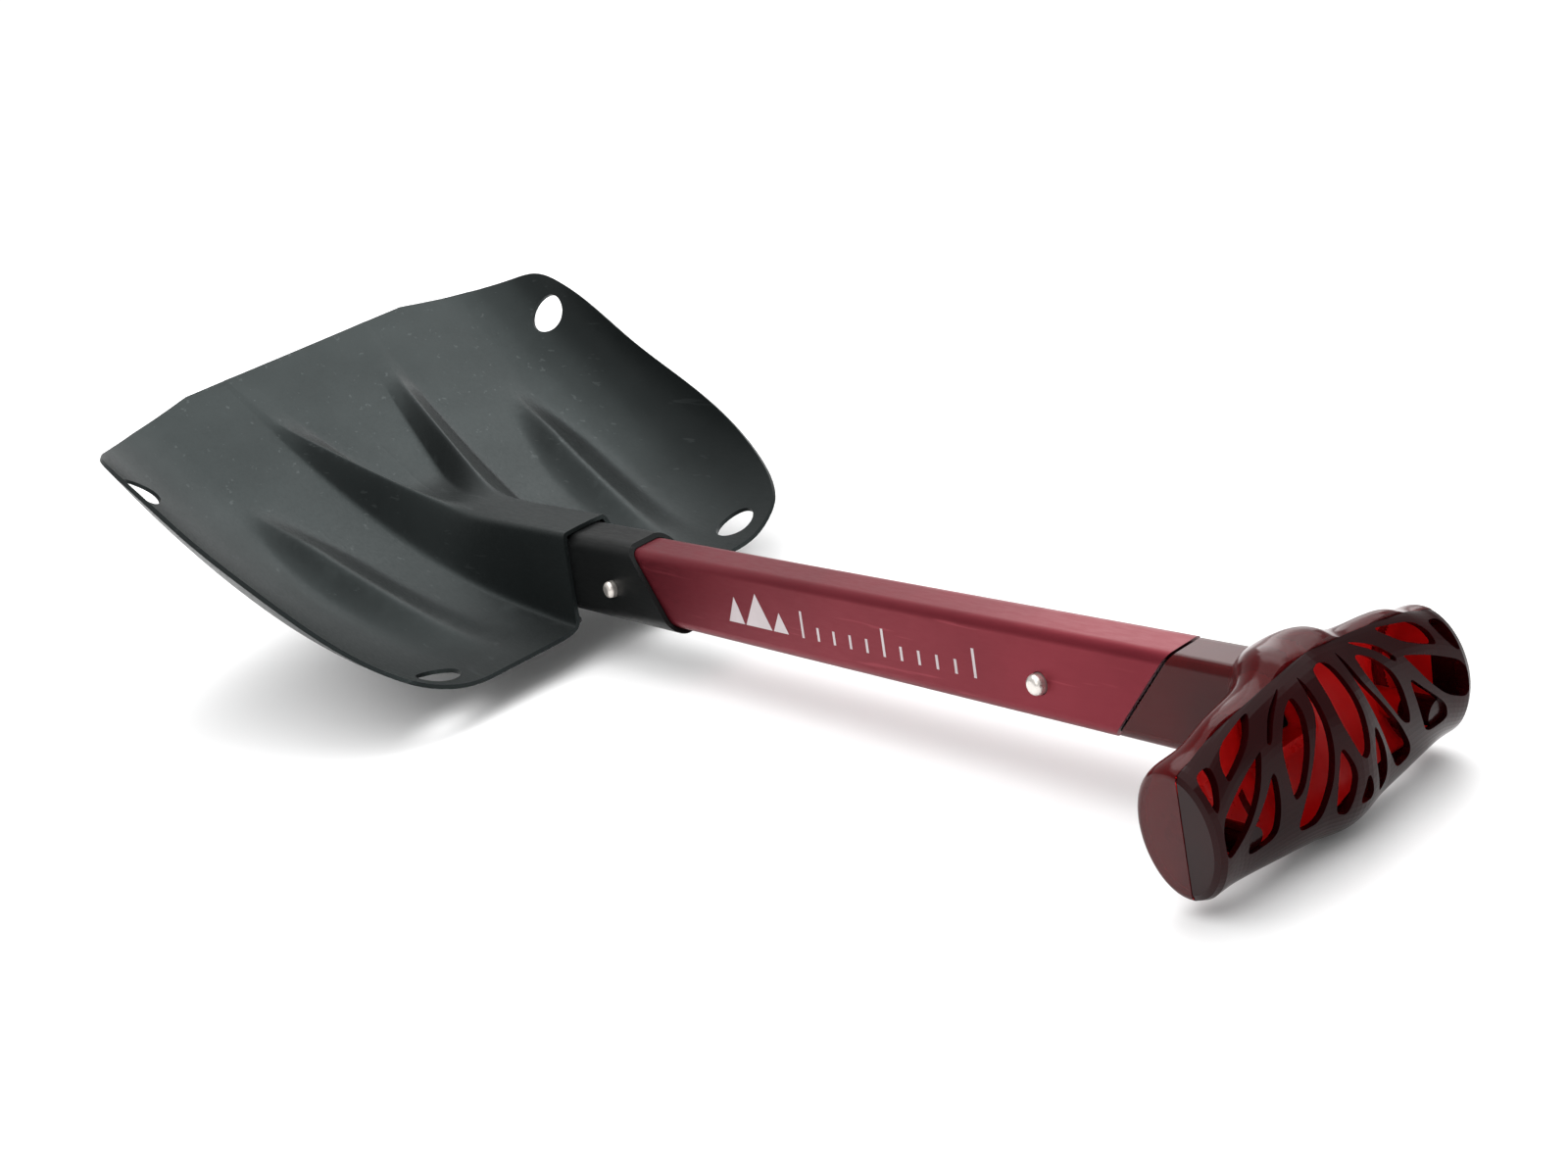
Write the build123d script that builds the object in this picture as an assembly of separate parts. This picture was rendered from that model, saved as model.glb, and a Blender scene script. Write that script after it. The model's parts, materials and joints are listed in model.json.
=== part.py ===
from build123d import *
import math
import os

# Avalanche shovel: pressed scoop blade with a socket, two telescoping trapezoid shafts, hollow T grip.
# Everything is drawn in the shaft frame: X runs along the shaft from the blade to the grip, Z is up,
# and the shaft's centre line is Y = Z = 0. It is moved to its resting frame when it is written.

# ---- Driving dimensions, in millimetres and degrees -------------------------------------------

# Shaft section: a trapezoid with its narrow side up
TUBE_HEIGHT = 30.0
TUBE_HALF_TOP = 7.8
TUBE_HALF_BOTTOM = 13.6
TUBE_CORNER = 4.0

# Lower shaft
LOWER_WALL = 1.5
LOWER_START_X = -66.0
LOWER_TOP_END_X = 307.7
LOWER_SLANT = -28.0
PLUG_LENGTH = 12.0

# Upper shaft, smaller by UPPER_INSET all round
UPPER_INSET = 2.5
UPPER_WALL = 1.3
UPPER_START_X = 30.0
UPPER_END_X = 332.0
EXTENSION_TRAVEL = 194.0
GUIDE_CLEARANCE = 0.3
BUSHING_START_X = 257.0
GLIDE_LENGTH = 15.0

# Socket on the blade, larger than the lower shaft all round
SOCKET_GAP = 0.3
SOCKET_WALL = 1.8
SOCKET_START_X = -70.0
SOCKET_TOP_END_X = -3.5
SOCKET_SLANT = 26.0
WELD_BEAD_RADIUS = 1.6

# Snap buttons and their V springs
BUTTON_RADIUS = 3.5
BUTTON_HOLE_RADIUS = 3.8
BUTTON_COLLAR_RADIUS = 4.6
BUTTON_COLLAR = 1.2
BUTTON_ROUND = 2.2
BUTTON_Z = -1.8
BUTTON_PROUD = 3.6
SOCKET_BUTTON_X = -21.3
STOW_BUTTON_X = 249.0
EXTENSION_BUTTON_X = STOW_BUTTON_X - EXTENSION_TRAVEL
SPRING_THICKNESS = 0.8
SPRING_WIDTH = 9.0
SPRING_LENGTH = 30.0

# Blade: u is the distance ahead of BLADE_REAR_X, where its pressed form starts, and a the distance
# from the centre line. The sheet itself ends at EDGE_REAR_X
BLADE_REAR_X = -44.5
EDGE_REAR_X = -53.0
BLADE_FRONT_X = -321.5
BLADE_LENGTH = BLADE_REAR_X - BLADE_FRONT_X
BLADE_THICKNESS = 1.8
PAN_Z = -21.0
PAN_RADIUS = 340.0
WALL_START = 63.0
WALL_FLARE = 0.07
WALL_RADIUS = 48.0
WALL_SWEEP = 86.0
TUNNEL_TOP_Z = 19.0
TUNNEL_HALF_TOP = 11.0
TUNNEL_HALF_BASE = 18.8
TUNNEL_LENGTH = 112.0
TUNNEL_REAR_X = -56.0
CREST_RISE = 0.355
CREST_SPREAD = 0.19
RIB_INNER_FLANK = 9.0
SIDE_RIB_Y = 46.0
SIDE_RIB_SPREAD = 0.14
SIDE_RIB_HEIGHT = 8.5
SIDE_RIB_LENGTH = 212.0
TRIM_LEAN = 40.0
FRONT_LASH = (220.0, 120.8, 20.0)
REAR_LASH = (29.0, 78.7, 19.0)

# Grip: oval sections at distances from the middle, as
# (distance, centre x, centre z, half size in x, half size in z, tilt)
GRIP_SECTIONS = [
    (0.0, 346.0, -7.4, 23.3, 29.4, 0.0),
    (13.0, 349.4, -7.0, 16.6, 26.5, 0.0),
    (26.0, 350.7, -7.5, 13.2, 24.2, 1.0),
    (39.0, 350.0, -9.0, 13.0, 22.4, 7.0),
    (51.5, 347.4, -11.3, 15.8, 21.4, 15.0),
]
GRIP_WALL = 2.2
GRIP_SEAM_X = 352.0
GRIP_SEAM_TILT = 10.0
NECK_INSET = 0.3
NECK_TOP_START_X = 309.2
NECK_END_X = 340.0
SCREW_SPOTS = [(-38.0, -17.0), (38.0, -17.0)]
SCREW_HEAD = 5.4
SCREW_SHANK = 2.6
SCREW_FACE_X = 343.5
SCREW_TIP_X = 358.0
BOSS_DIAMETER = 8.6
RIVET_SPOTS = [(297.0, 5.5), (297.0, -5.5)]

# Windows through the grip's rear half. Each is a leaf between two tips, given as (y, z), whose
# sides bulge by the two amounts; the side windows are repeated on the other side
CENTRE_WINDOWS = [
    ((0.0, 18.0), (0.0, -10.0), 4.2, 4.2),
    ((0.0, -12.5), (0.0, -27.0), 3.0, 3.0),
]
SIDE_WINDOWS = [
    ((-9.0, 16.5), (-21.0, -24.5), 5.4, 0.4),
    ((-7.0, -1.0), (-10.5, -27.0), 2.6, 2.4),
    ((-13.0, 15.0), (-25.5, -14.5), 2.4, 5.6),
    ((-26.5, 12.3), (-44.0, 1.0), 1.5, 4.4),
    ((-31.0, 4.5), (-47.5, -19.0), 1.8, 4.3),
    ((-28.5, 1.0), (-37.0, -23.5), 5.0, 3.4),
]

# Resting frame: the origin is under the middle of the whole shovel, at its lowest point
REST_SHIFT_X = -23.9
REST_SHIFT_Z = 36.8


# ---- Shaft sections ---------------------------------------------------------------------------

SIDE_SLOPE = (TUBE_HALF_BOTTOM - TUBE_HALF_TOP) / TUBE_HEIGHT
SIDE_TILT = math.atan(SIDE_SLOPE)
NEAR_SIDE = Vector(0, -math.cos(SIDE_TILT), math.sin(SIDE_TILT))


def half_width(z, inset=0.0):
    """Half width of the shaft at height z, with its sides moved in by inset."""
    outside = TUBE_HALF_TOP + (TUBE_HEIGHT / 2 - z) * SIDE_SLOPE
    return outside - inset * math.hypot(1, SIDE_SLOPE)


def bar(x_start, x_end, inset=0.0):
    """A solid bar with the shaft's section, moved in by inset all round."""
    top = TUBE_HEIGHT / 2 - inset
    corners = [
        (half_width(top, inset), top),
        (half_width(-top, inset), -top),
        (-half_width(-top, inset), -top),
        (-half_width(top, inset), top),
    ]
    section = make_face(Polyline(*corners, close=True))
    section = fillet(section.vertices(), max(TUBE_CORNER - inset, 0.8))
    return extrude(Plane.YZ.offset(x_start) * section, amount=x_end - x_start)


def slant_cut(solid, x_top, slant, keep):
    """Cuts a bar where its top ends at x_top and its bottom reaches slant further along X."""
    plane = Plane(origin=(x_top, 0, TUBE_HEIGHT / 2), z_dir=(TUBE_HEIGHT, 0, slant))
    return split(solid, bisect_by=plane, keep=keep)


def near_side(x, depth=0.0):
    """Plane on the near side face, its z pointing out of the shaft, sunk in by depth."""
    face = Vector(x, -half_width(BUTTON_Z), BUTTON_Z)
    return Plane(origin=face - NEAR_SIDE * depth, x_dir=(1, 0, 0), z_dir=NEAR_SIDE)


def side_hole(x, outer_depth, inner_depth):
    """Round cutter through the near side, from outer_depth in to inner_depth."""
    return extrude(near_side(x, inner_depth) * Circle(BUTTON_HOLE_RADIUS), amount=inner_depth - outer_depth)


# ---- Lower shaft ------------------------------------------------------------------------------


def lower_shaft_tube():
    end = LOWER_TOP_END_X + 10
    tube = bar(LOWER_START_X, end) - bar(LOWER_START_X - 1, end + 1, LOWER_WALL)
    tube = slant_cut(tube, LOWER_TOP_END_X, LOWER_SLANT, Keep.BOTTOM)
    for x in (SOCKET_BUTTON_X, STOW_BUTTON_X):
        tube -= side_hole(x, -3, 4)
    return tube


def lower_shaft_plug():
    """Plastic cup that closes the shaft's lower end, with a thin flange outside."""
    flange = bar(LOWER_START_X - 2.0, LOWER_START_X - 0.05, 0.2)
    stem = bar(LOWER_START_X - 0.05, LOWER_START_X + PLUG_LENGTH, LOWER_WALL + 0.05)
    hollow = bar(LOWER_START_X + 1.5, LOWER_START_X + PLUG_LENGTH + 1, LOWER_WALL + 2.0)
    return flange + stem - hollow


def shaft_guide_bushing():
    """Plastic ring inside the lower shaft's mouth, which keeps the upper shaft central."""
    outside = bar(BUSHING_START_X, LOWER_TOP_END_X, LOWER_WALL + 0.02)
    ring = outside - bar(BUSHING_START_X - 1, LOWER_TOP_END_X + 1, UPPER_INSET - GUIDE_CLEARANCE)
    return slant_cut(ring, LOWER_TOP_END_X - 1.0, LOWER_SLANT, Keep.BOTTOM)


# ---- Upper shaft ------------------------------------------------------------------------------


def upper_shaft_tube():
    tube = bar(UPPER_START_X, UPPER_END_X, UPPER_INSET)
    tube -= bar(UPPER_START_X - 1, UPPER_END_X + 1, UPPER_INSET + UPPER_WALL)
    for x in (STOW_BUTTON_X, EXTENSION_BUTTON_X):
        tube -= side_hole(x, 0, 6)
    return tube - neck_rivets()


def upper_shaft_glide():
    """Plastic sleeve around the upper shaft's lower end, which slides inside the lower shaft."""
    outside = bar(UPPER_START_X - 2.0, UPPER_START_X + GLIDE_LENGTH, LOWER_WALL + GUIDE_CLEARANCE)
    seat = bar(UPPER_START_X - 0.05, UPPER_START_X + GLIDE_LENGTH + 1, UPPER_INSET - 0.02)
    bore = bar(UPPER_START_X - 3.0, UPPER_START_X + 1, UPPER_INSET + UPPER_WALL + 0.4)
    return outside - seat - bore


# ---- Snap buttons: a domed stud on one end of a V-shaped leaf spring ----------------------------


def button_stud(x, collar_depth, top_height):
    """Stud standing top_height above the lower shaft's side, its collar below collar_depth."""
    pin = Pos(0, 0, -collar_depth - 0.1) * Cylinder(
        BUTTON_RADIUS, top_height + collar_depth + 0.1, align=(Align.CENTER, Align.CENTER, Align.MIN)
    )
    pin = fillet(pin.edges().sort_by(Axis.Z)[-1], BUTTON_ROUND)
    collar = Pos(0, 0, -collar_depth) * Cylinder(
        BUTTON_COLLAR_RADIUS, BUTTON_COLLAR, align=(Align.CENTER, Align.CENTER, Align.MAX)
    )
    return near_side(x) * (pin + collar)


def snap_spring(x, near_depth, far_depth, way):
    """Leaf bent to a V: one leg under the stud's collar, the other against the shaft's far side."""
    near = -near_depth - SPRING_THICKNESS / 2
    far = -far_depth + SPRING_THICKNESS / 2
    middle = near + (far - near) * 0.5
    start = (-way * 5.5, near)
    under = (way * 5.0, near)
    bend_near = (way * SPRING_LENGTH, middle + 1.6)
    bend_tip = (way * (SPRING_LENGTH + 1.9), middle)
    bend_far = (way * SPRING_LENGTH, middle - 1.6)
    end = (-way * 3.0, far)
    path = [Line(start, under), Line(under, bend_near), ThreePointArc(bend_near, bend_tip, bend_far)]
    path.append(Line(bend_far, end))
    strip = trace(Curve() + path, SPRING_THICKNESS)
    leaf = extrude(Plane.XZ * strip, amount=SPRING_WIDTH / 2, both=True)
    return near_side(x) * leaf


# ---- Blade ------------------------------------------------------------------------------------


def ease(value, low, high):
    """Rises smoothly from 0 at low to 1 at high."""
    t = min(max((value - low) / (high - low), 0.0), 1.0)
    return t * t * (3 - 2 * t)


def ramp(value, softness):
    """Zero for negative values and the value itself for positive ones, with a rounded corner."""
    return (value + math.hypot(value, softness)) / 2


def slope_down(value, low, high, softness=0.1):
    """Falls in a straight line from 1 at low to 0 at high, with both corners rounded."""
    t = (high - value) / (high - low)
    return (math.hypot(t, softness) - math.hypot(t - 1, softness) + 1) / 2


def pan_height(u):
    return PAN_Z + u * u / (2 * PAN_RADIUS)


def wall_start(u):
    return WALL_START + WALL_FLARE * u


def crest_spacing(u):
    """Half spacing of the tunnel's top corners, and further ahead of the two V ribs."""
    return TUNNEL_HALF_TOP + CREST_SPREAD * ramp(u - TUNNEL_LENGTH - 13, 12)


def flank_base(u):
    """Distance at which the tunnel's and ribs' outer flanks meet the pan."""
    return TUNNEL_HALF_BASE + 0.1 * ramp(u - 43, 12)


def centre_relief(u, a):
    """Height that the tunnel and the V ribs add to the pan."""
    crest = TUNNEL_TOP_Z + CREST_RISE * ramp(u - TUNNEL_LENGTH, 12)
    rise = ramp(crest - pan_height(u), 3)
    spacing = crest_spacing(u)
    outer = slope_down(a, spacing, flank_base(u))
    inner = 1 - slope_down(a, spacing - RIB_INNER_FLANK, spacing)
    valley = ease(u, TUNNEL_LENGTH - 7, TUNNEL_LENGTH + 73)
    return rise * outer * (1 - valley + valley * inner)


def side_rib(u):
    """Centre distance, half width and height of the side rib."""
    taper = ease(SIDE_RIB_LENGTH - u, 0, 60)
    height = SIDE_RIB_HEIGHT * taper * ease(u, 6, 130)
    half = 9 + 8 * ease(SIDE_RIB_LENGTH - u, 0, 80)
    return SIDE_RIB_Y + SIDE_RIB_SPREAD * u, half, height


def side_rib_relief(u, a):
    middle, half, height = side_rib(u)
    t = math.hypot((a - middle) / half, 0.14)
    return height * (max(1 - t, 0.0) / 0.86) ** 1.6


def top_point(u, a):
    """Point on the blade's upper face; a is measured along the pan and up the wall."""
    start = wall_start(u)
    turn = max(a - start, 0.0) / WALL_RADIUS
    y = min(a, start) + WALL_RADIUS * math.sin(turn)
    z = pan_height(u) + WALL_RADIUS * (1 - math.cos(turn))
    return Vector(BLADE_REAR_X - u, y, z + centre_relief(u, a) + side_rib_relief(u, a))


def top_plane(u, a):
    """Plane touching the blade's upper face, its z pointing up out of the sheet."""
    step = 0.05
    ahead = top_point(u + step, a) - top_point(u - step, a)
    across = top_point(u, a + step) - top_point(u, a - step)
    return Plane(origin=top_point(u, a), x_dir=ahead, z_dir=across.cross(ahead))


def spread(low, high, count):
    return [low + (high - low) * i / count for i in range(count)]


def across_stations(u):
    """Distances from the centre line at which the sheet is drawn, closer where it bends."""
    spacing = crest_spacing(u)
    base = flank_base(u)
    middle, half, _ = side_rib(u)
    rim = wall_start(u) + WALL_RADIUS * math.radians(WALL_SWEEP)
    return [
        *spread(0, spacing - RIB_INNER_FLANK, 2),
        *spread(spacing - RIB_INNER_FLANK, spacing, 8),
        *spread(spacing, base, 10),
        *spread(base, middle, 10),
        *spread(middle, middle + half, 6),
        *spread(middle + half, rim, 8),
        rim,
    ]


def sheet_section(u, parameters):
    """Thin closed section of half the sheet, square to X, at distance u from the rear edge."""
    upper = []
    lower = []
    for a in across_stations(u):
        normal = top_plane(u, a).z_dir
        point = top_point(u, a)
        steepness = normal.Y ** 2 + normal.Z ** 2
        upper.append(point)
        lower.append(point - Vector(0, normal.Y, normal.Z) * (BLADE_THICKNESS / steepness))
    lower[0] = Vector(lower[0].X, 0, lower[0].Z)
    top = Edge.make_spline(upper, parameters=parameters)
    bottom = Edge.make_spline(lower, parameters=parameters)
    return Wire([top, Edge.make_line(upper[-1], lower[-1]), bottom, Edge.make_line(lower[0], upper[0])])


def half_sheet():
    """Half of the pressed sheet, from the centre line to beyond its rim, before it is trimmed."""
    reach = across_stations(BLADE_LENGTH / 2)
    parameters = [a / reach[-1] for a in reach]
    stations = [8.2 * i - 3 for i in range(36)]
    return Solid.make_loft([sheet_section(u, parameters) for u in stations])


def seen(x, y, z):
    """Where a rim point falls on the leaning plane in which the blade's outline is drawn."""
    lean = math.radians(TRIM_LEAN)
    return (x, y * math.cos(lean) + z * math.sin(lean))


def blade_trim():
    """Solid that keeps one half of the blade within its outline."""
    lean = math.radians(TRIM_LEAN)
    low = -60.0
    knee = seen(BLADE_FRONT_X, 61.6, 92.4)
    rim_start = seen(-262, 124.7, 83)
    corner = Spline(
        knee,
        seen(-318.8, 75, 89.2),
        seen(-315.2, 90, 87.2),
        seen(-307, 104.5, 86.3),
        seen(-296, 115.3, 86.4),
        seen(-286, 121, 87.2),
        rim_start,
        tangents=[(0.28, 0.96), (0.98, -0.2)],
    )
    wing = Spline(
        rim_start,
        seen(-198, 121.5, 53.1),
        seen(-133, 117.7, 24.7),
        seen(-84, 106.2, 3.6),
        seen(-61, 94.1, -9.2),
        tangents=[(0.98, -0.2), (0.62, -0.78)],
    )
    rear = Spline(
        seen(-61, 94.1, -9.2),
        seen(-55.6, 84, -17),
        seen(-53.2, 72, -20.3),
        seen(EDGE_REAR_X, 60, -21),
        tangents=[(0.62, -0.78), (0, -1)],
    )
    inside = Polyline(seen(EDGE_REAR_X, 60, -21), (EDGE_REAR_X, low), (BLADE_FRONT_X, low), knee)
    outline = make_face([*corner.edges(), *wing.edges(), *rear.edges(), *inside.edges()])
    plane = Plane(origin=(0, 0, 0), x_dir=(1, 0, 0), z_dir=(0, -math.sin(lean), math.cos(lean)))
    return extrude(plane * outline, amount=300, both=True)


def tunnel_end_cut():
    """Clears the sheet behind the tunnel's rear end, with its corners cut back beside it."""
    outline = Polyline((TUNNEL_REAR_X, 0), (TUNNEL_REAR_X, 18.5), (-53, 28), (-40, 28), (-40, 0), close=True)
    return extrude(make_face(outline), amount=60, both=True)


def lash_hole(u, a, diameter):
    return extrude(top_plane(u, a) * Circle(diameter / 2), amount=8, both=True)


def blade():
    half = half_sheet() & blade_trim()
    half = half - tunnel_end_cut() - lash_hole(*FRONT_LASH) - lash_hole(*REAR_LASH)
    return half + mirror(half, about=Plane.XZ)


# ---- Socket -----------------------------------------------------------------------------------


def socket_bar(x_start, x_end):
    return bar(x_start, x_end, -SOCKET_GAP - SOCKET_WALL)


def socket():
    end = SOCKET_TOP_END_X + SOCKET_SLANT + 6
    tube = socket_bar(SOCKET_START_X, end) - bar(SOCKET_START_X - 1, end + 1, -SOCKET_GAP)
    tube = slant_cut(tube, SOCKET_TOP_END_X, SOCKET_SLANT, Keep.BOTTOM)
    return tube - side_hole(SOCKET_BUTTON_X, -6, 2)


def socket_weld_beads(blade_solid, socket_solid):
    """Fillet welds under the blade, along both lower corners of the socket."""
    beads = Part()
    for side in (-1, 1):
        start = Plane(origin=(-68, side * 17.0, -18.6), z_dir=(1, 0, 0))
        beads += extrude(start * Circle(WELD_BEAD_RADIUS), amount=11)
    return beads - blade_solid - socket_solid


# ---- Grip -------------------------------------------------------------------------------------


def grip_section(y, x, z, half_x, half_z, tilt):
    """Closed oval wire square to Y, drawn as one smooth curve through points around it."""
    lean = math.radians(tilt)
    points = []
    for i in range(12):
        angle = i * math.pi / 6
        across = half_x * math.cos(angle)
        along = half_z * math.sin(angle)
        dx = across * math.cos(lean) + along * math.sin(lean)
        dz = along * math.cos(lean) - across * math.sin(lean)
        points.append(Vector(x + dx, y, z + dz))
    return Wire([Edge.make_spline(points, periodic=True, parameters=[i / 12 for i in range(13)])])


def grip_bar(inset=0.0):
    """Solid crossbar through the oval sections, with rounded ends."""
    end, *end_section = GRIP_SECTIONS[-1]
    sections = [(y, *rest, 0.0) for y, *rest in GRIP_SECTIONS[:-1]]
    sections.append((end - 2.5, *end_section, 0.0))
    sections.append((end - 0.8, *end_section, 0.8))
    sections.append((end, *end_section, 2.6))
    mirrored = [(-y, *rest) for y, *rest in reversed(sections[1:])]
    wires = []
    for y, x, z, half_x, half_z, tilt, shrink in mirrored + sections:
        reach = y * (end - inset) / end
        size = inset + shrink
        wires.append(grip_section(reach, x, z, half_x - size, half_z - size, tilt))
    return Solid.make_loft(wires)


def grip_seam():
    tilt = math.radians(GRIP_SEAM_TILT)
    return Plane(origin=(GRIP_SEAM_X, 0, 0), z_dir=(math.cos(tilt), 0, -math.sin(tilt)))


def screw_columns(diameter, x_start, x_end):
    columns = Part()
    for y, z in SCREW_SPOTS:
        plane = Plane(origin=(x_start, y, z), z_dir=(1, 0, 0))
        columns += extrude(plane * Circle(diameter / 2), amount=x_end - x_start)
    return columns


def grip_front_shell(outer, inner):
    """Front half of the grip with the neck that takes the upper shaft."""
    shell = split(outer - inner, bisect_by=grip_seam(), keep=Keep.BOTTOM)
    bosses = split(screw_columns(BOSS_DIAMETER, 330, 380) & inner, bisect_by=grip_seam(), keep=Keep.BOTTOM)
    neck = bar(NECK_TOP_START_X - 40, NECK_END_X, NECK_INSET)
    neck = slant_cut(neck, NECK_TOP_START_X, LOWER_SLANT, Keep.TOP)
    shell = shell + bosses + neck
    shell -= bar(NECK_TOP_START_X - 41, UPPER_END_X + 0.1, UPPER_INSET - 0.03)
    shell -= bar(UPPER_END_X, NECK_END_X + 1, UPPER_INSET + UPPER_WALL)
    shell -= screw_columns(SCREW_HEAD + 0.6, 320, SCREW_FACE_X)
    return shell - screw_columns(SCREW_SHANK + 0.3, SCREW_FACE_X - 1, 375) - neck_rivets()


def window(first_tip, second_tip, left, right):
    """Leaf-shaped cutter along X, bulging by left and right of the line between its tips."""
    first = Vector(*first_tip)
    second = Vector(*second_tip)
    middle = (first + second) * 0.5
    sideways = (second - first).normalized().rotate(Axis.Z, 90)
    leaf = Curve() + [
        ThreePointArc(first, middle + sideways * left, second),
        ThreePointArc(second, middle - sideways * right, first),
    ]
    return extrude(Plane.YZ.offset(345) * make_face(leaf), amount=40)


def grip_palm_shell(outer, inner):
    """Rear half of the grip, pierced by its windows."""
    shell = split(outer - inner, bisect_by=grip_seam(), keep=Keep.TOP)
    bosses = split(screw_columns(BOSS_DIAMETER, 330, 380) & inner, bisect_by=grip_seam(), keep=Keep.TOP)
    for opening in CENTRE_WINDOWS:
        shell -= window(*opening)
    for opening in SIDE_WINDOWS:
        cutter = window(*opening)
        shell = shell - cutter - mirror(cutter, about=Plane.XZ)
    return shell + bosses - screw_columns(SCREW_SHANK, 345, SCREW_TIP_X + 0.3)


def grip_screws():
    """Pan-head screws that hold the two halves together."""
    heads = screw_columns(SCREW_HEAD, SCREW_FACE_X - 2.6, SCREW_FACE_X)
    shanks = screw_columns(SCREW_SHANK - 0.02, SCREW_FACE_X, SCREW_TIP_X)
    screws = heads + shanks
    for y, z in SCREW_SPOTS:
        for angle in (0, 90):
            screws -= Pos(SCREW_FACE_X - 2.6, y, z) * Rot(X=angle) * Box(2.4, 0.8, 3.2)
    return screws


def neck_rivets():
    """Blind rivets under the neck, through its wall and the upper shaft's."""
    rivets = Part()
    for x, y in RIVET_SPOTS:
        foot = Pos(x, y, -TUBE_HEIGHT / 2 + NECK_INSET)
        head = foot * Cylinder(2.8, 1.0, align=(Align.CENTER, Align.CENTER, Align.MAX))
        head = fillet(head.edges().sort_by(Axis.Z)[0], 0.6)
        stem = foot * Cylinder(1.6, 5.0, align=(Align.CENTER, Align.CENTER, Align.MIN))
        rivets += head + stem
    return rivets


# ---- Assembly ---------------------------------------------------------------------------------


def build():
    blade_solid = blade()
    socket_solid = socket()
    grip_outside = grip_bar()
    grip_inside = grip_bar(GRIP_WALL)
    collar_depth = UPPER_INSET + UPPER_WALL + 0.1
    stow_leaf = collar_depth + BUTTON_COLLAR + 0.05
    lower_collar = LOWER_WALL + 0.1
    lower_leaf = lower_collar + BUTTON_COLLAR + 0.05
    rest_depth = UPPER_INSET - 0.7 + 5.5
    return {
        "blade": blade_solid,
        "socket": socket_solid,
        "socket_weld_beads": socket_weld_beads(blade_solid, socket_solid),
        "lower_shaft_tube": lower_shaft_tube(),
        "lower_shaft_plug": lower_shaft_plug(),
        "shaft_guide_bushing": shaft_guide_bushing(),
        "socket_snap_spring": snap_spring(SOCKET_BUTTON_X, lower_leaf, 17.6, 1),
        "socket_button": button_stud(SOCKET_BUTTON_X, lower_collar, SOCKET_GAP + SOCKET_WALL + BUTTON_PROUD),
        "upper_shaft_tube": upper_shaft_tube(),
        "upper_shaft_glide": upper_shaft_glide(),
        "stow_snap_spring": snap_spring(STOW_BUTTON_X, stow_leaf, 15.4, -1),
        "stow_button": button_stud(STOW_BUTTON_X, collar_depth, BUTTON_PROUD),
        "extension_snap_spring": snap_spring(EXTENSION_BUTTON_X, rest_depth + 3.35, 15.4, 1),
        "extension_button": button_stud(EXTENSION_BUTTON_X, rest_depth + 2.1, -UPPER_INSET + 0.7),
        "grip_front_shell": grip_front_shell(grip_outside, grip_inside),
        "grip_palm_shell": grip_palm_shell(grip_outside, grip_inside),
        "grip_screws": grip_screws(),
        "neck_rivets": neck_rivets(),
    }


os.makedirs("parts", exist_ok=True)
for name, shape in build().items():
    export_step(Pos(REST_SHIFT_X, 0, REST_SHIFT_Z) * shape, f"parts/{name}.step")
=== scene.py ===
import json
import math
import bmesh
import bpy
from mathutils import Matrix, Vector


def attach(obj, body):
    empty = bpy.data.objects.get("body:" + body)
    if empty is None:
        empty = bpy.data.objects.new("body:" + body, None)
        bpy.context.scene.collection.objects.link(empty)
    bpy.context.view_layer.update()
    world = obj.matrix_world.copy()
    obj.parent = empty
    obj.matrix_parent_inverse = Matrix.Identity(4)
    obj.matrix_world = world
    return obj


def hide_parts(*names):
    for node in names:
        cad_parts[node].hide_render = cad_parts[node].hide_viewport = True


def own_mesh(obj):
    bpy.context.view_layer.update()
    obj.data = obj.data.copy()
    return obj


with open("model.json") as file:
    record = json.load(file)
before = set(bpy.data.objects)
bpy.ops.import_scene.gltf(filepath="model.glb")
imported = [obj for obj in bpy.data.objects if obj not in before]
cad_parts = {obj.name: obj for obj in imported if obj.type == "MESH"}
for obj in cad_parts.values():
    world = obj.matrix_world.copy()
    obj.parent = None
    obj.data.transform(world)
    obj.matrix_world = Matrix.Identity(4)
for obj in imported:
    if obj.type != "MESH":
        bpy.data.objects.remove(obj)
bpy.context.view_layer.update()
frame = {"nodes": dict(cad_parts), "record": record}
nodes = frame["nodes"]

# Where the shaft frame's origin lies in the row frame, in metres. Sizes and places below are in
# the shaft frame, in millimetres, unless they say otherwise
SHIFT = Vector((-0.0239, 0.0, 0.0368))


def row(x, y, z):
    """Row-frame position, in metres, of a point of the shaft frame in millimetres."""
    return Vector((x, y, z)) / 1000 + SHIFT


# ---- Camera -----------------------------------------------------------------------------------

camera_data = bpy.data.cameras.new("camera")
camera = bpy.data.objects.new("camera", camera_data)
bpy.context.scene.collection.objects.link(camera)
bpy.context.scene.camera = camera
camera_data.lens = 50
camera_data.sensor_width = 36
camera_data.clip_end = 300
right = Vector((0.54462, 0.78288, -0.30082)).normalized()
forward = Vector((-0.83148, 0.45711, -0.31574)).normalized()
up = right.cross(forward)
turn = Matrix((right, up, -forward)).transposed()
camera.matrix_world = Matrix.Translation(row(761.1, -367.1, 260.3)) @ turn.to_4x4()


# ---- Materials --------------------------------------------------------------------------------


def shader(name, **values):
    """New material, its tree and its Principled shader, with the named sockets set."""
    material = bpy.data.materials.new(name)
    material.use_nodes = True
    tree = material.node_tree
    principled = tree.nodes["Principled BSDF"]
    for key, value in values.items():
        principled.inputs[key.replace("_", " ")].default_value = value
    return material, tree, principled


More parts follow.
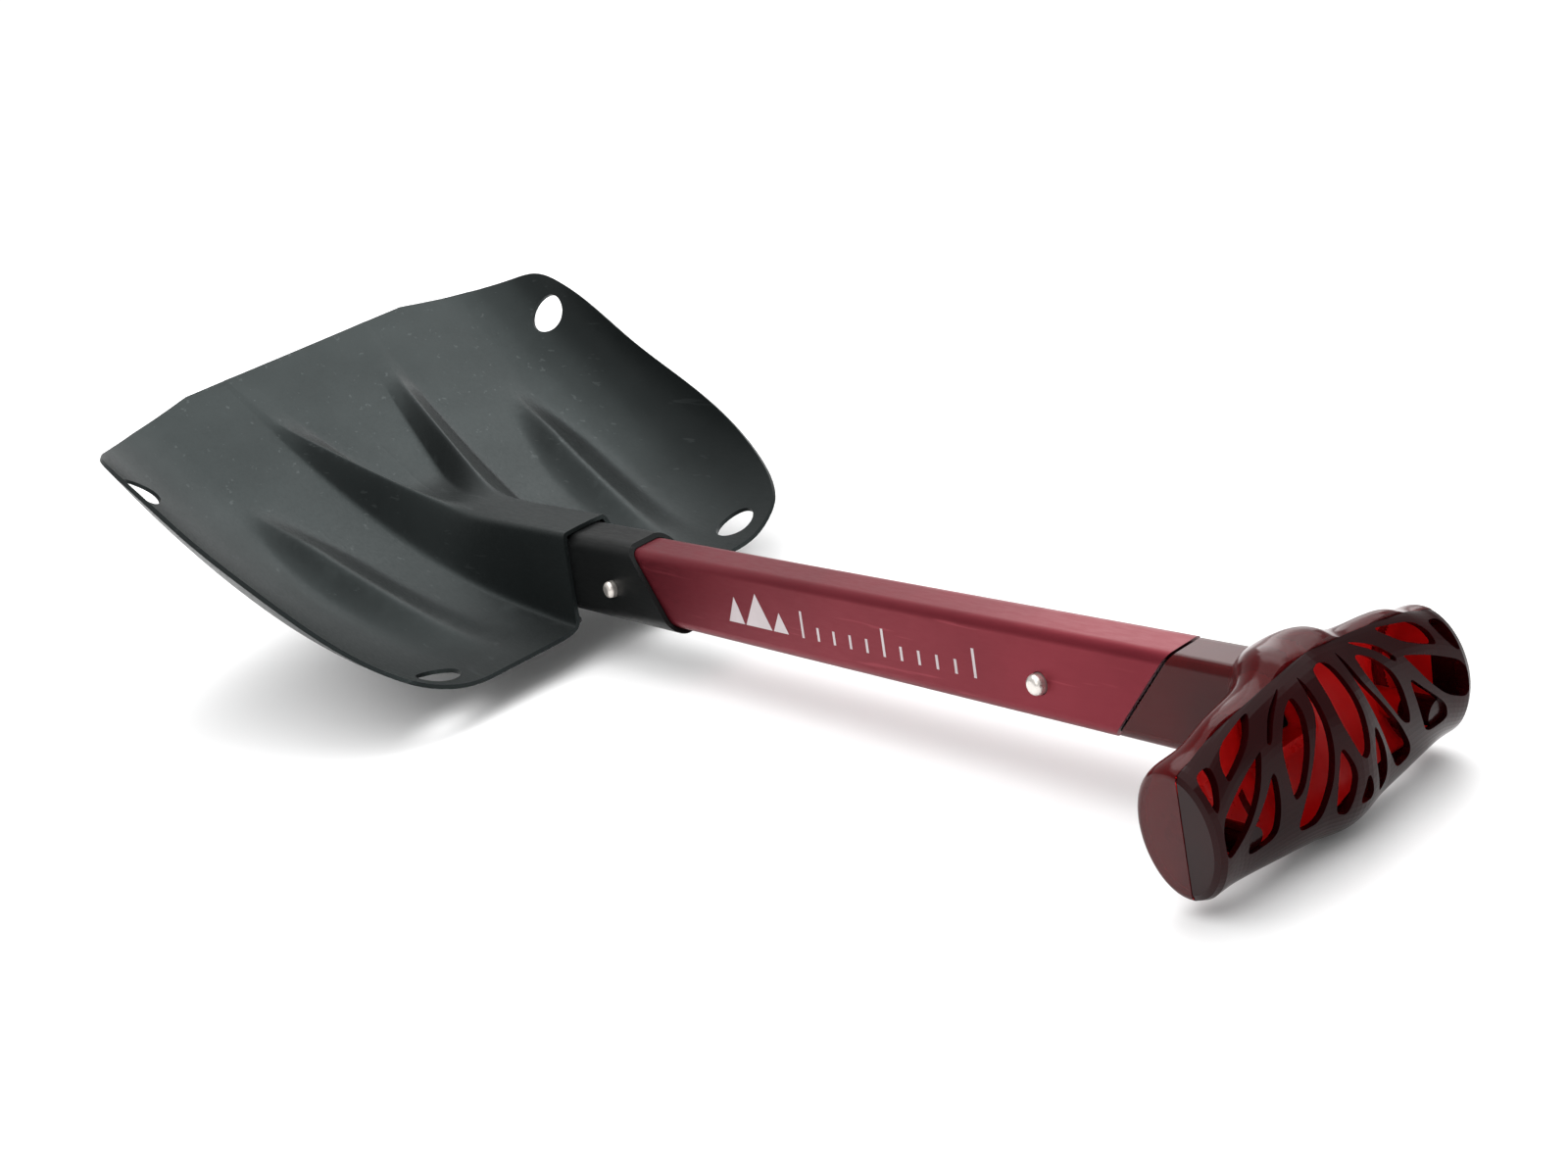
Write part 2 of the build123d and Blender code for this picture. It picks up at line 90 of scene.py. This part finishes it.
def add(tree, kind, **values):
    """New shader node. Keys that name a socket set it, and others set the node's settings."""
    node = tree.nodes.new(kind)
    for key, value in values.items():
        socket = node.inputs.get(key.replace("_", " "))
        if socket is not None and not hasattr(node, key):
            socket.default_value = value
        else:
            setattr(node, key, value)
    return node


def object_noise(tree, scale, stretch=(1, 1, 1), detail=4.0, roughness=0.6):
    """Noise in object space, stretched along an axis to give a grain direction."""
    place = add(tree, "ShaderNodeTexCoord")
    mapping = add(tree, "ShaderNodeMapping")
    mapping.inputs["Scale"].default_value = stretch
    noise = add(tree, "ShaderNodeTexNoise")
    noise.inputs["Scale"].default_value = scale
    noise.inputs["Detail"].default_value = detail
    noise.inputs["Roughness"].default_value = roughness
    tree.links.new(place.outputs["Object"], mapping.inputs["Vector"])
    tree.links.new(mapping.outputs["Vector"], noise.inputs["Vector"])
    return noise.outputs["Fac"]


def ramp(tree, source, stops):
    """Colour ramp through (position, colour) stops."""
    node = add(tree, "ShaderNodeValToRGB")
    elements = node.color_ramp.elements
    for element, (position, colour) in zip(elements, stops[:2]):
        element.position = position
        element.color = (*colour, 1)
    for position, colour in stops[2:]:
        elements.new(position).color = (*colour, 1)
    tree.links.new(source, node.inputs["Fac"])
    return node.outputs["Color"]


def spread(tree, source, low, high):
    """Maps the middle of a noise to the range low to high."""
    node = add(tree, "ShaderNodeMapRange")
    node.inputs["From Min"].default_value = 0.3
    node.inputs["From Max"].default_value = 0.7
    node.inputs["To Min"].default_value = low
    node.inputs["To Max"].default_value = high
    tree.links.new(source, node.inputs["Value"])
    return node.outputs["Result"]


def bump(tree, principled, source, distance, strength=1.0):
    node = add(tree, "ShaderNodeBump")
    node.inputs["Distance"].default_value = distance
    node.inputs["Strength"].default_value = strength
    tree.links.new(source, node.inputs["Height"])
    tree.links.new(node.outputs["Normal"], principled.inputs["Normal"])


def blend_colours(tree, mode, amount, first, second):
    node = add(tree, "ShaderNodeMix", data_type="RGBA", blend_type=mode)
    if isinstance(amount, float):
        node.inputs[0].default_value = amount
    else:
        tree.links.new(amount, node.inputs[0])
    tree.links.new(first, node.inputs[6])
    tree.links.new(second, node.inputs[7])
    return node.outputs[2]


def satin_metal(name, dark, light, metallic, rough_low, rough_high, grain=(0.15, 1, 1), scratch=0.25):
    """Anodised or bare metal: faint clouding, fine grain along X, and thin pale handling scratches."""
    material, tree, principled = shader(name, Metallic=metallic, IOR=1.25)
    cloud = object_noise(tree, 14, detail=3)
    colour = ramp(tree, cloud, [(0.3, dark), (0.72, light)])
    scratches = object_noise(tree, 260, (0.06, 1, 1.3), detail=2, roughness=0.75)
    worn = add(tree, "ShaderNodeMapRange")
    worn.inputs["From Min"].default_value = 0.66
    worn.inputs["From Max"].default_value = 0.72
    worn.inputs["To Max"].default_value = scratch
    tree.links.new(scratches, worn.inputs["Value"])
    pale = add(tree, "ShaderNodeRGB")
    pale.outputs[0].default_value = (*[min(1.0, c * 1.9 + 0.03) for c in light], 1)
    colour = blend_colours(tree, "MIX", worn.outputs["Result"], colour, pale.outputs[0])
    tree.links.new(colour, principled.inputs["Base Color"])
    grain_noise = object_noise(tree, 900, grain, detail=3)
    tree.links.new(spread(tree, grain_noise, rough_low, rough_high), principled.inputs["Roughness"])
    bump(tree, principled, grain_noise, 0.00002, 0.6)
    return material


def moulded(name, dark, light, rough_low, rough_high, texture=500, depth=0.00003, **values):
    """Moulded plastic with slight colour drift and a fine surface texture."""
    material, tree, principled = shader(name, **values)
    colour = ramp(tree, object_noise(tree, 30), [(0.3, dark), (0.7, light)])
    tree.links.new(colour, principled.inputs["Base Color"])
    fine = object_noise(tree, texture, detail=5)
    tree.links.new(spread(tree, fine, rough_low, rough_high), principled.inputs["Roughness"])
    bump(tree, principled, fine, depth, 0.5)
    return material


MATERIALS = {
    "anodised_blade": satin_metal(
        "blade_anodised", (0.017, 0.021, 0.021), (0.024, 0.029, 0.029),
        0.7, 0.34, 0.44,
    ),
    "black_socket": satin_metal(
        "socket_black", (0.007, 0.0075, 0.0075), (0.011, 0.012, 0.012),
        0.55, 0.36, 0.46,
    ),
    "weld_metal": satin_metal(
        "weld_dark", (0.02, 0.02, 0.02), (0.06, 0.06, 0.06),
        0.8, 0.3, 0.6, (1, 1, 1),
    ),
    "red_anodised_tube": satin_metal(
        "tube_red", (0.150, 0.014, 0.023), (0.185, 0.019, 0.030),
        0.82, 0.33, 0.42,
    ),
    "silver_tube": satin_metal("tube_silver", (0.28, 0.28, 0.29), (0.36, 0.36, 0.37), 1.0, 0.25, 0.36),
    "spring_steel": satin_metal("steel_strip", (0.33, 0.34, 0.36), (0.48, 0.49, 0.5), 1.0, 0.25, 0.35),
    "button_chrome": satin_metal("button_chrome", (0.60, 0.56, 0.52), (0.72, 0.68, 0.64), 0.85, 0.26, 0.36),
    "screw_steel": satin_metal(
        "screw_steel", (0.4, 0.4, 0.42), (0.55, 0.55, 0.56),
        1.0, 0.25, 0.35, (1, 1, 1),
    ),
    "rivet_aluminium": satin_metal(
        "rivet_metal", (0.5, 0.5, 0.5), (0.62, 0.62, 0.62),
        1.0, 0.3, 0.4, (1, 1, 1),
    ),
    "black_plastic": moulded("plastic_black", (0.012, 0.012, 0.012), (0.022, 0.022, 0.022), 0.45, 0.6),
    "red_grip_plastic": moulded(
        "grip_outside",
        (0.055, 0.0008, 0.0015),
        (0.10, 0.0012, 0.0025),
        0.12,
        0.2,
        texture=120,
        Transmission_Weight=0.5,
        IOR=1.25,
    ),
}

for entry in frame["record"]["subparts"]:
    node = nodes[entry["node"]]
    node.data.materials.clear()
    node.data.materials.append(MATERIALS[entry["material_slot"]])


# ---- Grip -------------------------------------------------------------------------------------

# Oval sections of the crossbar: (y, centre x, centre z, half size in x, half size in z, tilt, shrink)
SECTIONS = [
    (0.0, 346.0, -7.4, 23.3, 29.4, 0.0, 0.0),
    (13.0, 349.4, -7.0, 16.6, 26.5, 0.0, 0.0),
    (26.0, 350.7, -7.5, 13.2, 24.2, 1.0, 0.0),
    (39.0, 350.0, -9.0, 13.0, 22.4, 7.0, 0.0),
    (49.0, 347.4, -11.3, 15.8, 21.4, 15.0, 0.0),
    (50.7, 347.4, -11.3, 15.8, 21.4, 15.0, 0.8),
    (51.4, 347.4, -11.3, 15.8, 21.4, 15.0, 2.6),
]

# Windows as (y, z) outlines in millimetres; the side ones are repeated on the other side
CENTRE_WINDOWS = [
    [(0, 17.6), (-3.8, 16.2), (-5, 2.9), (-2.6, -8.5), (0, -11), (2.6, -8.5), (5, 2.9), (3.8, 16.2)],
    [(0, -12), (-4, -24.5), (4, -24.5)],
]
SIDE_WINDOWS = [
    [(-23.9, 14.9), (-27.1, 14.9), (-38.4, 11.6), (-41.8, 7.4), (-42.3, 1.7), (-37.4, 4.1), (-30.4, 8.1)],
    [(-49.6, 7.3), (-42.6, 9.5), (-43.9, 3.8), (-46.7, -1.6), (-49.6, -3.6)],
    [(-28, 5), (-28.3, 6.5), (-38.4, 1.8), (-49.6, -5.2), (-49.6, -18.3), (-39.9, -12.7), (-33.4, -5)],
    [(-11.4, 17.6), (-21.5, 12.9), (-26.8, 6.2), (-24.6, 4.6), (-20.2, 10.4)],
    [(-27.4, 0.5), (-32.3, -5.6), (-40.1, -14.1), (-41.5, -21), (-29.8, -20), (-27.5, -11.8), (-26.4, -2.8)],
    [(-11.7, 14.7), (-17.8, 11.1), (-23.7, 2.9), (-24.3, -13.2), (-19.5, -10.8), (-14.2, -0.2), (-11.5, 8.4)],
    [
        (-7.7, 18.4),
        (-9.8, 7.6),
        (-13.9, -0.2),
        (-19.5, -10.8),
        (-23.4, -19.5),
        (-22.3, -23.1),
        (-15.2, -23.4),
        (-10.5, -13),
        (-8.2, -4.3),
        (-6.9, 3.6),
        (-6.4, 14.2),
    ],
    [(-6.6, -1), (-10.3, -13), (-11, -23.1), (-6.2, -26), (-4.3, -20), (-2.9, -12)],
]
RIB = 0.55
SHELL = 2.2
SKIN_INSET = 0.1
SEAM_X = 352.1
SEAM_TILT = math.radians(10)
SCREW_Z = -17.0
SCREW_Y = 38.0
BOSS_RADIUS = 4.3
SCREW_HOLE_RADIUS = 1.4
SCREW_HOLE_END_X = 358.4
WINDOW_START_X = 344
WINDOW_END_X = 385


def section_at(y):
    """Section of the crossbar at distance y from the middle, smooth between the given ones."""
    y = abs(y)
    k = max(i for i in range(len(SECTIONS) - 1) if SECTIONS[i][0] <= min(y, 51.3))
    first, second = SECTIONS[k], SECTIONS[k + 1]
    t = (y - first[0]) / (second[0] - first[0])
    if k > 3:
        return [a + (b - a) * t for a, b in zip(first, second)]
    before = SECTIONS[k - 1] if k else (-SECTIONS[1][0], *SECTIONS[1][1:])
    after = SECTIONS[k + 2] if k < 3 else (60.0, *second[1:])
    width = second[0] - first[0]
    values = []
    for p, a, b, n in zip(before, first, second, after):
        start = (b - p) / (second[0] - before[0]) * width
        end = (n - a) / (after[0] - first[0]) * width
        cubic = (2 * t**3 - 3 * t**2 + 1) * a + (t**3 - 2 * t**2 + t) * start
        values.append(cubic + (3 * t**2 - 2 * t**3) * b + (t**3 - t**2) * end)
    return values


def crossbar(inset):
    """Closed skin of the crossbar, moved in by inset."""
    around = 72
    reaches = [49.0 * i / 28 for i in range(29)] + [50.0, 50.7, 51.1, 51.4]
    reaches = [-y for y in reversed(reaches[1:])] + reaches
    verts = []
    for y in reaches:
        _, x, z, half_x, half_z, tilt, shrink = section_at(y)
        lean = math.radians(tilt)
        for i in range(around):
            angle = 2 * math.pi * i / around
            across = (half_x - inset - shrink) * math.cos(angle)
            along = (half_z - inset - shrink) * math.sin(angle)
            dx = across * math.cos(lean) + along * math.sin(lean)
            dz = along * math.cos(lean) - across * math.sin(lean)
            verts.append(row(x + dx, y * (51.4 - inset) / 51.4, z + dz))
    faces = [tuple(range(around))]
    for j in range(len(reaches) - 1):
        for i in range(around):
            k = (i + 1) % around
            faces.append((j * around + k, j * around + i, (j + 1) * around + i, (j + 1) * around + k))
    last = (len(reaches) - 1) * around
    faces.append(tuple(last + i for i in reversed(range(around))))
    return solid("crossbar", verts, faces)


def solid(name, verts, faces):
    """New object with a closed mesh, its faces turned outward."""
    data = bpy.data.meshes.new(name)
    data.from_pydata(verts, [], faces)
    builder = bmesh.new()
    builder.from_mesh(data)
    bmesh.ops.recalc_face_normals(builder, faces=builder.faces)
    builder.to_mesh(data)
    builder.free()
    made = bpy.data.objects.new(name, data)
    bpy.context.scene.collection.objects.link(made)
    return made


def prism(outline, x_start, x_end):
    """Closed prism along X through a (y, z) outline."""
    count = len(outline)
    verts = [row(x, y, z) for x in (x_start, x_end) for y, z in outline]
    faces = [tuple(range(count)), tuple(range(count, 2 * count))]
    faces += [(i, (i + 1) % count, (i + 1) % count + count, i + count) for i in range(count)]
    return solid("prism", verts, faces)


def inside_outline(outline, distance):
    """The outline moved in by distance, with rounded corners."""
    points = [Vector(point) for point in outline]
    area = sum(a.x * b.y - b.x * a.y for a, b in zip(points, points[1:] + points[:1]))
    side = 1 if area > 0 else -1
    moved = []
    for before, point, after in zip(points[-1:] + points[:-1], points, points[1:] + points[:1]):
        first = (point - before).normalized()
        second = (after - point).normalized()
        inward = Vector((-first.y - second.y, first.x + second.x)).normalized() * side
        lean = max(inward.dot(Vector((-first.y, first.x)) * side), 0.35)
        moved.append(point + inward * min(distance / lean, 2.2 * distance))
    for _ in range(3):
        pairs = list(zip(moved, moved[1:] + moved[:1]))
        moved = [corner for a, b in pairs for corner in (a * 0.8 + b * 0.2, a * 0.2 + b * 0.8)]
    return [(point.x, point.y) for point in moved]


def combined(base, tools, operation):
    """Applies a boolean of every tool to base and removes the tools."""
    for tool in tools:
        step = base.modifiers.new("step", "BOOLEAN")
        step.operation = operation
        step.solver = "EXACT"
        step.object = tool
    result = bpy.data.meshes.new_from_object(base.evaluated_get(bpy.context.evaluated_depsgraph_get()))
    base.modifiers.clear()
    base.data = result
    for tool in tools:
        bpy.data.objects.remove(tool)
    return base


def palm_half():
    """Closed block that covers everything behind the grip's seam."""
    slope = math.tan(SEAM_TILT)
    corners = [(SEAM_X + z * slope, z) for z in (-50, 40)] + [(400, 40), (400, -50)]
    verts = [row(x, y, z) for y in (-60, 60) for x, z in corners]
    faces = [(0, 1, 2, 3), (4, 5, 6, 7), (0, 1, 5, 4), (1, 2, 6, 5), (2, 3, 7, 6), (3, 0, 4, 7)]
    return solid("palm_half", verts, faces)


def disc(y, z, radius):
    """Round (y, z) outline."""
    angles = [math.pi * i / 16 for i in range(32)]
    return [(y + radius * math.cos(angle), z + radius * math.sin(angle)) for angle in angles]


def screw_boss(y):
    """Column from the seam to the rear wall, with the hole that a screw bites into."""
    boss = combined(prism(disc(y, SCREW_Z, BOSS_RADIUS), 340, 380), [crossbar(1.6)], "INTERSECT")
    combined(boss, [palm_half()], "INTERSECT")
    hole = prism(disc(y, SCREW_Z, SCREW_HOLE_RADIUS), 330, SCREW_HOLE_END_X)
    return combined(boss, [hole], "DIFFERENCE")


def window_cutters():
    """Prisms for every window, the side ones on both sides."""
    cutters = []
    for outline in CENTRE_WINDOWS:
        cutters.append(prism(inside_outline(outline, RIB), WINDOW_START_X, WINDOW_END_X))
    for outline in SIDE_WINDOWS:
        near = inside_outline(outline, RIB)
        far = [(-y, z) for y, z in near]
        cutters.append(prism(near, WINDOW_START_X, WINDOW_END_X))
        cutters.append(prism(far, WINDOW_START_X, WINDOW_END_X))
    return cutters


def palm_web():
    """The grip's rear half: a shell with its bosses, pierced between its ribs."""
    web = combined(crossbar(SKIN_INSET), [crossbar(SHELL)], "DIFFERENCE")
    combined(web, [palm_half()], "INTERSECT")
    combined(web, window_cutters(), "DIFFERENCE")
    return combined(web, [screw_boss(-SCREW_Y), screw_boss(SCREW_Y)], "UNION")


def is_inside(point):
    """True for a point of the front shell that faces the grip's hollow; these faces get the painted backlight
    glow.
    """
    x, y, z = (point - SHIFT) * 1000
    _, centre_x, centre_z, half_x, half_z, tilt, _ = section_at(min(abs(y), 49))
    lean = math.radians(tilt)
    dx, dz = x - centre_x, z - centre_z
    across = dx * math.cos(lean) - dz * math.sin(lean)
    along = dx * math.sin(lean) + dz * math.cos(lean)
    return abs(y) < 50.4 and math.hypot(across / (half_x - 1.9), along / (half_z - 1.9)) < 1


web_material = moulded(
    "grip_ribs",
    (0.008, 0.0005, 0.0007),
    (0.017, 0.0008, 0.0012),
    0.14,
    0.22,
    texture=160,
    IOR=1.22,
)
# Same red plastic as the shell's outside, but far brighter: painted light standing in for light shining
# through the thin shell from behind
backlit_glow_material = moulded(
    "grip_inside_painted_backlight",
    (0.72, 0.003, 0.004),
    (0.95, 0.010, 0.008),
    0.25,
    0.4,
    texture=90,
    Transmission_Weight=0.25,
    IOR=1.3,
)

grip_web = palm_web()
grip_web.name = "grip_web"
grip_web.data.materials.clear()
grip_web.data.materials.append(web_material)
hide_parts("grip_palm_shell")
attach(grip_web, "upper_shaft")

grip_front = bpy.data.objects.new("grip_front", nodes["grip_front_shell"].data.copy())
bpy.context.scene.collection.objects.link(grip_front)
grip_front.data.materials.append(backlit_glow_material)
# Faces towards the hollow get the bright red with the painted backlight glow
for polygon in grip_front.data.polygons:
    polygon.material_index = int(is_inside(polygon.center))
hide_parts("grip_front_shell")
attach(grip_front, "upper_shaft")


# ---- Spring copies on their shafts --------------------------------------------------------------

NEAR_FACE_Y = -10.7


def pressed_spring(node, body):
    """Copy of a spring, attached to the given body in place of the original."""
    spring = bpy.data.objects.new(f"{node}_visual", nodes[node].data.copy())
    bpy.context.scene.collection.objects.link(spring)
    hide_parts(node)
    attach(spring, body)
    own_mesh(spring)


pressed_spring("socket_snap_spring", "lower_shaft")
pressed_spring("stow_snap_spring", "upper_shaft")


# ---- Printed marks on the near side of the lower shaft ------------------------------------------

SIDE_TILT = math.atan((13.6 - 7.8) / 30)
PRINT_BOTTOM = 0.005
PRINT_TOP = 0.045


def shaft_mark(name, outlines):
    """Thin raised print on the near side face; outlines are (x, distance up the face) in millimetres."""
    up_face = Vector((0, math.sin(SIDE_TILT), math.cos(SIDE_TILT)))
    outward = Vector((0, -math.cos(SIDE_TILT), math.sin(SIDE_TILT)))
    verts = []
    faces = []
    for outline in outlines:
        count = len(outline)
        start = len(verts)
        for height in (PRINT_BOTTOM, PRINT_TOP):
            for x, rise in outline:
                point = Vector((x, NEAR_FACE_Y, 0)) + up_face * rise + outward * height
                verts.append(row(*point))
        faces.append(tuple(start + i for i in reversed(range(count))))
        faces.append(tuple(start + count + i for i in range(count)))
        for i in range(count):
            j = (i + 1) % count
            faces.append((start + i, start + j, start + count + j, start + count + i))
    print_mesh = bpy.data.meshes.new(name)
    print_mesh.from_pydata(verts, [], faces)
    print_mesh.materials.append(ink)
    mark = bpy.data.objects.new(name, print_mesh)
    bpy.context.scene.collection.objects.link(mark)
    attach(mark, "lower_shaft")


ink = moulded("print_ink", (0.46, 0.40, 0.41), (0.58, 0.52, 0.53), 0.5, 0.65)
shaft_mark(
    "mountain_print",
    [
        [(66, -5), (77, -5), (74, 1), (71.5, 5)],
        [(78, -5), (96, -5), (87, 8)],
        [(97, -5), (107, -5), (102, 2.5)],
    ],
)
shaft_mark(
    "scale_print",
    [
        [(116 + 10 * i, -5), (117.4 + 10 * i, -5), (117.4 + 10 * i, top), (116 + 10 * i, top)]
        for i, top in enumerate([5, 0, 0, 0, 0, 5, 0, 0, 0, 0, 5])
    ],
)


# ---- Floor and light --------------------------------------------------------------------------

mesh = bpy.data.meshes.new("floor")
mesh.from_pydata([(-60, -60, 0), (60, -60, 0), (60, 60, 0), (-60, 60, 0)], [], [(0, 1, 2, 3)])
floor = bpy.data.objects.new("floor", mesh)
bpy.context.scene.collection.objects.link(floor)
floor.location.z = -0.0006
floor_material, floor_tree, floor_shader = shader("floor_pale", Roughness=0.9)
floor_shader.inputs["Base Color"].default_value = (0.93, 0.93, 0.93, 1)
mesh.materials.append(floor_material)

world = bpy.data.worlds.new("studio")
bpy.context.scene.world = world
world.use_nodes = True
background = world.node_tree.nodes["Background"]
background.inputs["Color"].default_value = (1, 1, 1, 1)
background.inputs["Strength"].default_value = 0.62
height = add(world.node_tree, "ShaderNodeTexCoord")
parts = add(world.node_tree, "ShaderNodeSeparateXYZ")
horizon = add(world.node_tree, "ShaderNodeMapRange")
horizon.inputs["From Min"].default_value = 0.05
horizon.inputs["From Max"].default_value = 0.1
horizon.inputs["To Min"].default_value = 1.1
horizon.inputs["To Max"].default_value = 0.62
world.node_tree.links.new(height.outputs["Generated"], parts.inputs["Vector"])
world.node_tree.links.new(parts.outputs["Z"], horizon.inputs["Value"])
world.node_tree.links.new(horizon.outputs["Result"], background.inputs["Strength"])
bpy.context.scene.view_settings.view_transform = "Standard"


def softbox(name, position, target, size, power):
    data = bpy.data.lights.new(name, "AREA")
    data.shape = "RECTANGLE"
    data.size, data.size_y = size
    data.energy = power
    lamp = bpy.data.objects.new(name, data)
    lamp.location = position
    lamp.rotation_mode = "QUATERNION"
    lamp.rotation_quaternion = (Vector(target) - Vector(position)).to_track_quat("-Z", "Y")
    bpy.context.scene.collection.objects.link(lamp)


softbox("key_light", (-0.6, 0.9, 1.9), (0, 0, 0.05), (1.8, 1.8), 24)
softbox("fill_light", (0.9, -1.4, 1.2), (0.1, 0, 0.05), (1.2, 1.2), 6)
softbox("back_light", (-1.2, 1.6, 0.9), (0.2, 0, 0.05), (1.0, 1.0), 8)

sky_data = bpy.data.lights.new("broad_light", "SUN")
sky_data.energy = 1.9
sky_data.angle = 1.4
sky = bpy.data.objects.new("broad_light", sky_data)
bpy.context.scene.collection.objects.link(sky)
